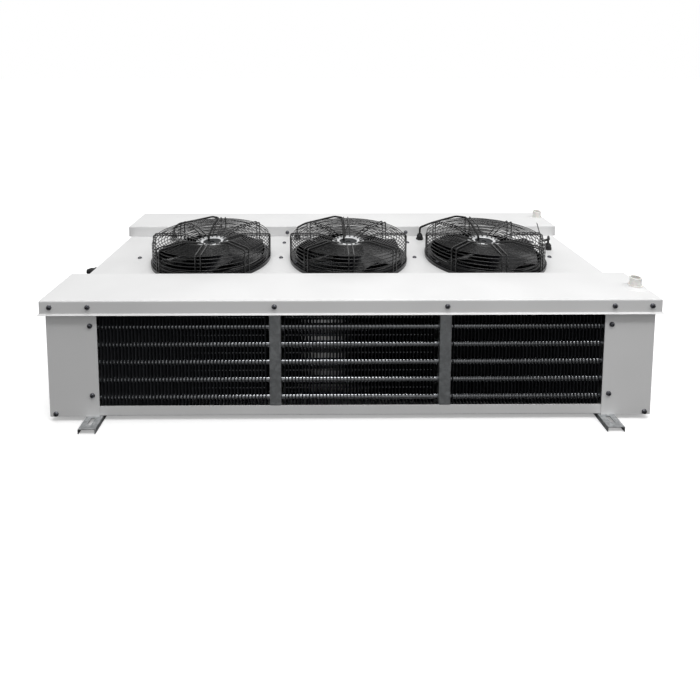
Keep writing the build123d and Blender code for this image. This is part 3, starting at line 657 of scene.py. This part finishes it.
def fin(low, high, edge, way):
    """One fin between two corners in Y and Z: waved across its depth, notched for the deck's flange."""
    made = bmesh.new()
    depth = high[0] - low[0]
    bmesh.ops.create_grid(made, x_segments=1, y_segments=FIN_WAVES * 2, size=0.5)
    for vert in made.verts:
        share = vert.co.y + 0.5
        wave = FIN_WAVE * (0.5 if round(share * FIN_WAVES * 2) % 2 else -0.5)
        vert.co = (wave, low[0] + depth * share, low[1] + (high[1] - low[1]) * (vert.co.x + 0.5))
    for point, normal in (((0, edge, 0), (0, 1, 0)), ((0, 0, DECK_FOOT), (0, 0, 1))):
        whole = list(made.verts) + list(made.edges) + list(made.faces)
        bmesh.ops.bisect_plane(made, geom=whole, dist=MERGE, plane_co=point, plane_no=normal)
    middles = {face: face.calc_center_median() for face in made.faces}
    notch = [face for face, middle in middles.items() if middle.z > DECK_FOOT and (middle.y - edge) * way > 0]
    bmesh.ops.delete(made, geom=notch, context="FACES")
    bmesh.ops.recalc_face_normals(made, faces=made.faces)
    bmesh.ops.solidify(made, geom=list(made.faces), thickness=FIN_THICKNESS)
    return made


def sleeve(mesh, start, end, y, z, radius, end_radius):
    """A round sleeve along X, straight or flared."""
    place = Matrix.Translation(((start + end) / 2, y, z)) @ Matrix.Rotation(math.pi / 2, 4, "Y")
    bmesh.ops.create_cone(mesh, cap_ends=False, segments=12, radius1=radius, radius2=end_radius,
                          depth=end - start, matrix=place)


def collars(centres, face, radius, places):
    """The fins' drawn collars: flared at each fin on the row one sees, plain on the rows behind."""
    template = bmesh.new()
    for y, z in centres:
        if abs(y - face) < MM:
            sleeve(template, 0, COLLAR_STRAIGHT, y, z, radius, radius)
            sleeve(template, COLLAR_STRAIGHT, FIN_PITCH, y, z, radius, radius + COLLAR_FLARE)
    made = copies(template, [Matrix.Translation((x, 0, 0)) for x in places])
    template.free()
    for start, end in bay_limits():
        for y, z in centres:
            if abs(y - face) > MM:
                sleeve(made, start, end, y, z, radius, radius)
    bmesh.ops.recalc_face_normals(made, faces=made.faces)
    return made


def spacer_tabs(y, heights, places):
    """The small tabs lanced from each fin that hold the next one at its pitch."""
    template = bmesh.new()
    for height in heights:
        size = Matrix.Diagonal((TAB_LENGTH, TAB_THICKNESS, TAB_HEIGHT, 1))
        bmesh.ops.create_cube(template, size=1, matrix=Matrix.Translation((TAB_LENGTH / 2, y, height)) @ size)
    made = copies(template, [Matrix.Translation((x, 0, 0)) for x in places])
    template.free()
    return made


def coils():
    for side in ("front", "rear"):
        low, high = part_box(f"{side}_fin_pack")
        xs = []
        for start, end in bay_limits():
            count = int((end - start - FIN_WAVE) // FIN_PITCH)
            first = (start + end) / 2 - (count - 1) * FIN_PITCH / 2
            xs.append([first + i * FIN_PITCH for i in range(count)])
        deck_low, deck_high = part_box("fan_deck")
        edge, way = (deck_low.y - SEAT_GAP, 1) if side == "front" else (deck_high.y + SEAT_GAP, -1)
        template = fin((low.y, low.z), (high.y, high.z), edge, way)
        fins = copies(template, [Matrix.Translation((x, 0, 0)) for bay in xs for x in bay])
        template.free()
        piece(f"{side}_fins", fins, FIN, "root", "fin_aluminium", f"{side}_fin_pack", smooth=False)
        tubes = tube_centres(side)
        tube_radius = min(z for y, z in tubes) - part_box(f"{side}_coil_tubes")[0].z
        radius = tube_radius + COLLAR_WALL
        face = min(y for y, z in tubes) if side == "front" else max(y for y, z in tubes)
        between = [x for bay in xs for x in bay[:-1]]
        piece(f"{side}_collars", collars(tubes, face, radius, between), COLLAR, "root", "fin_aluminium")
        heights = sorted(z + TUBE_PITCH / 2 for y, z in tubes if abs(y - face) < MM)
        tabs = spacer_tabs(face, heights, between)
        piece(f"{side}_spacer_tabs", tabs, COLLAR, "root", "fin_aluminium", smooth=False)


# Stage
def stage():
    mesh = bmesh.new()
    bmesh.ops.create_grid(mesh, x_segments=1, y_segments=1, size=40)
    data = bpy.data.meshes.new("floor")
    mesh.to_mesh(data)
    mesh.free()
    data.transform(Matrix.Translation((0, 0, RAIL_FOOT)))
    material, tree, shader, place = surface("pale_floor", Roughness=0.9, Specular_IOR_Level=0.0)
    seen = add(tree, "ShaderNodeLightPath").outputs["Is Camera Ray"]
    tree.links.new(colour_steps(tree, seen, (0.0, FLOOR_BOUNCE), (1.0, "#F3F3F3")),
                   shader.inputs["Base Color"])
    shader.inputs["Emission Color"].default_value = linear("#FFFFFF")
    glow = add(tree, "ShaderNodeMapRange", {"Value": seen, "To Max": FLOOR_GLOW})
    tree.links.new(glow.outputs["Result"], shader.inputs["Emission Strength"])
    data.materials.append(material)
    floor = bpy.data.objects.new("floor", data)
    bpy.context.scene.collection.objects.link(floor)


def light(name, kind, energy, place, aim, **settings):
    data = bpy.data.lights.new(name, kind)
    data.energy = energy
    for key, value in settings.items():
        setattr(data, key, value)
    made = bpy.data.objects.new(name, data)
    made.location = place
    made.rotation_euler = (Vector(aim) - Vector(place)).to_track_quat("-Z", "Y").to_euler()
    bpy.context.scene.collection.objects.link(made)


def lights():
    scene = bpy.context.scene
    scene.view_settings.view_transform = "Standard"
    world = bpy.data.worlds.new("studio")
    world.use_nodes = True
    scene.world = world
    tree = world.node_tree
    seen = add(tree, "ShaderNodeLightPath").outputs["Is Camera Ray"]
    strength = add(tree, "ShaderNodeMapRange", {"Value": seen, "To Min": WORLD_LIGHT, "To Max": 1.0})
    back = tree.nodes["Background"]
    back.inputs["Color"].default_value = linear("#FFFFFF")
    tree.links.new(strength.outputs["Result"], back.inputs["Strength"])
    light("sky_softbox", "SUN", 1.05, (0.0, -0.3, 4.0), (0, 0, 0), angle=math.radians(35))
    # The long lamp reaches to the right, so that tube collars glint in the middle and right bays
    light("ceiling_lamp", "AREA", 44.0, (1.9, -1.4, 2.6), (1.9, 0, 0.2),
          shape="RECTANGLE", size=5.5, size_y=0.35)
    # Low and behind, so that blades, wires and pans mirror it towards the camera
    light("back_softbox", "AREA", 15.0, (0.3, 4.2, 2.7), (0, 0, 0.3),
          shape="RECTANGLE", size=4.0, size_y=1.5)


def camera():
    data = bpy.data.cameras.new("camera")
    data.sensor_width = SENSOR_WIDTH
    data.lens = SENSOR_WIDTH * FOCAL_PIXELS / PHOTO_WIDTH
    data.shift_x = (PHOTO_WIDTH / 2 - PRINCIPAL_X) / PHOTO_WIDTH
    data.shift_y = (PRINCIPAL_Y - PHOTO_WIDTH / 2) / PHOTO_WIDTH
    made = bpy.data.objects.new("camera", data)
    made.location = CAMERA_PLACE
    made.rotation_euler = (math.pi / 2 - CAMERA_PITCH, 0, -CAMERA_YAW)
    bpy.context.scene.collection.objects.link(made)
    bpy.context.scene.camera = made


camera()
dress_frame()
fan_guards()
screws()
coils()
stage()
lights()
